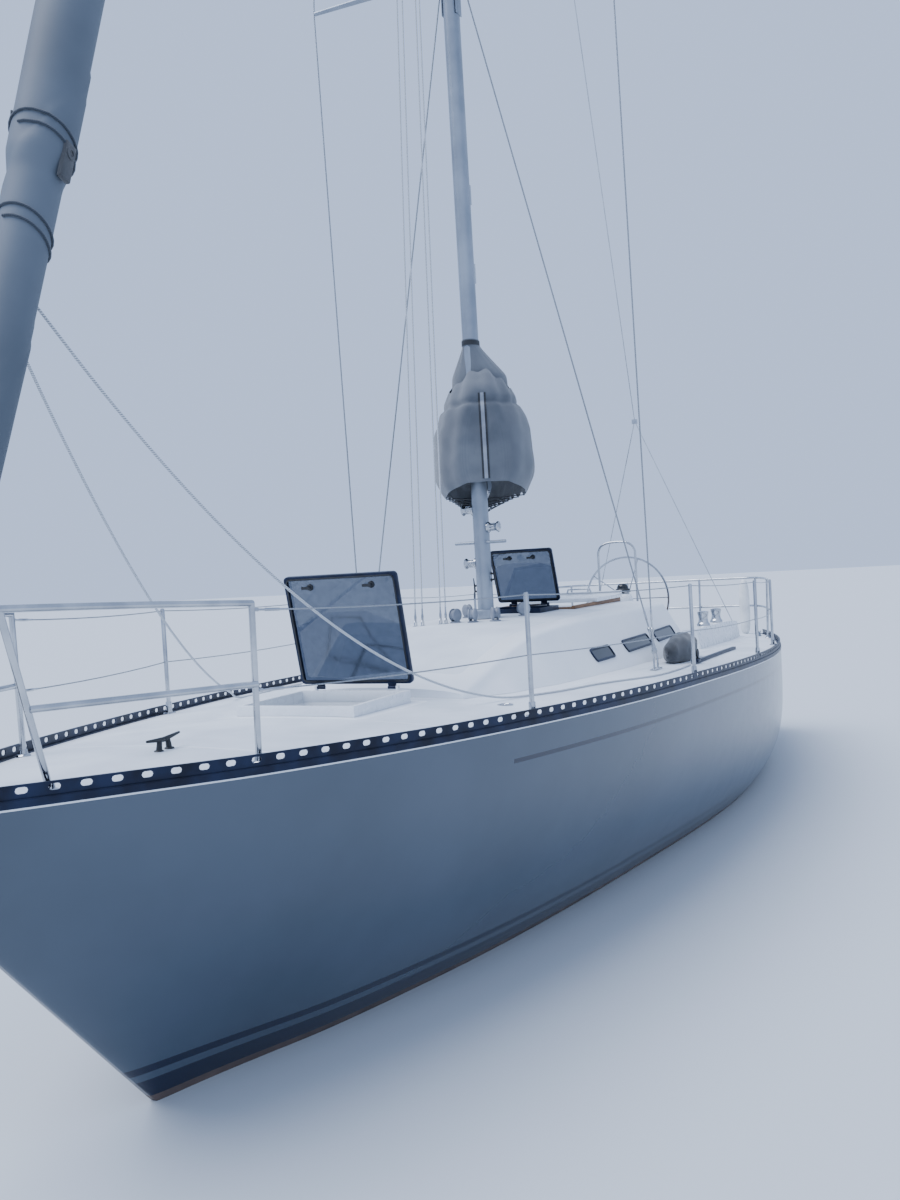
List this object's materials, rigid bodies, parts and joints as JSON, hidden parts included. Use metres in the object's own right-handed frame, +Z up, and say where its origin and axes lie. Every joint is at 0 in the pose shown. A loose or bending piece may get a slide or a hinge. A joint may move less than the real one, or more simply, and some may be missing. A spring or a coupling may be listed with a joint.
{
  "type": "sailing yacht",
  "caption": "Racer-cruiser sloop afloat with sails stowed: fin-keeled white hull, dark toe rail and stripes, furled genoa, bundled mainsail, open hatches and wheel steering.",
  "frame": {"origin": "on the centreline at the waterline, halfway between the stem head and the foot of the transom", "axes": "+X towards the bow, +Y to port, +Z up"},
  "size_m": [10.8119, 3.4159, 17.08],
  "materials": {
    "topsides": "white gelcoat over glass fibre, glossy, with navy stripes",
    "deck": "white gelcoat deck with fine non-skid panels",
    "roof": "white gelcoat",
    "dark_alloy": "aluminium extrusion anodised near black",
    "acrylic": "smoked acrylic in a dark frame",
    "teak": "oiled teak",
    "antifouling": "matt antifouling paint",
    "bronze": "cast bronze, machined",
    "steel": "polished stainless steel tube, wire and castings",
    "spar": "clear anodised aluminium spar section",
    "sailcloth": "weathered grey-white polyester sailcloth and cover",
    "fender": "soft white vinyl",
    "dark_fabric": "dark canvas bag"
  },
  "bodies": {
    "hull": {"hull": "topsides", "deck": "deck", "coachroof": "roof", "foredeck_hatch_coaming": "dark_alloy", "roof_hatch_coaming": "dark_alloy", "slide_runners": "teak", "companionway_boards": "teak", "cockpit_coaming_port": "roof", "cockpit_coaming_starboard": "roof", "fin_keel": "antifouling", "shaft_strut": "bronze", "propeller_shaft": "steel", "toe_rail_port": "dark_alloy", "toe_rail_starboard": "dark_alloy", "stem_head_fitting": "steel", "pulpit": "steel", "pushpit": "steel", "stanchion_port_1": "steel", "stanchion_port_2": "steel", "stanchion_port_3": "steel", "stanchion_port_4": "steel", "stanchion_starboard_1": "steel", "stanchion_starboard_2": "steel", "stanchion_starboard_3": "steel", "stanchion_starboard_4": "steel", "mast": "spar", "mast_collar": "spar", "spreaders_lower": "spar", "spreaders_upper": "spar", "masthead": "spar", "chainplate_port": "steel", "cap_shroud_port": "steel", "lower_shroud_port": "steel", "chainplate_starboard": "steel", "cap_shroud_starboard": "steel", "lower_shroud_starboard": "steel", "forestay": "steel", "furler_drum": "dark_alloy", "furled_genoa": "sailcloth", "backstay": "steel", "gooseneck": "steel", "steering_pedestal": "roof", "pedestal_guard": "steel", "winch_port_1": "steel", "winch_port_2": "steel", "genoa_track_port": "dark_alloy", "winch_starboard_1": "steel", "winch_starboard_2": "steel", "genoa_track_starboard": "dark_alloy", "stowed_fender": "fender", "deck_bag": "dark_fabric"},
    "boom": {"boom": "spar", "mainsail_bundle": "sailcloth"},
    "rudder": {"rudder": "antifouling"},
    "steering_wheel": {"steering_wheel": "steel"},
    "propeller": {"propeller": "bronze"},
    "foredeck_hatch": {"foredeck_hatch_lid": "acrylic"},
    "roof_hatch": {"roof_hatch_lid": "acrylic"},
    "slide": {"companionway_slide": "roof"}
  },
  "joints": [
    {"name": "boom_swing", "type": "hinge", "parent": "hull", "child": "boom", "pos_m": [0.223, 0, 2.64], "axis": [0, 0, 1], "range_deg": [-76, 28]},
    {"name": "rudder_turn", "type": "hinge", "parent": "hull", "child": "rudder", "pos_m": [-3.82, 0, 0.38], "axis": [-0.1045, 0, -0.9945], "range_deg": [-35, 35]},
    {"name": "wheel_turn", "type": "hinge", "parent": "hull", "child": "steering_wheel", "pos_m": [-3.36, 0, 1.6203], "axis": [1, 0, 0], "range_deg": [-420, 420]},
    {"name": "propeller_spin", "type": "hinge", "parent": "hull", "child": "propeller", "pos_m": [-2.96, 0, -0.61], "axis": [-0.993, 0, -0.1181], "continuous": true},
    {"name": "foredeck_hatch_tilt", "type": "hinge", "parent": "hull", "child": "foredeck_hatch", "pos_m": [2.25, 0, 1.437], "axis": [0, 1, 0], "range_deg": [-22, 78]},
    {"name": "roof_hatch_tilt", "type": "hinge", "parent": "hull", "child": "roof_hatch", "pos_m": [-0.526, 0, 1.734], "axis": [0, 1, 0], "range_deg": [-30, 70]},
    {"name": "slide_travel", "type": "slide", "parent": "hull", "child": "slide", "axis": [1, 0, 0], "range_m": [0, 0.53]}
  ],
  "couplings": [
    {"joint": "rudder_turn", "follows": "wheel_turn", "ratio": -0.083333}
  ]
}
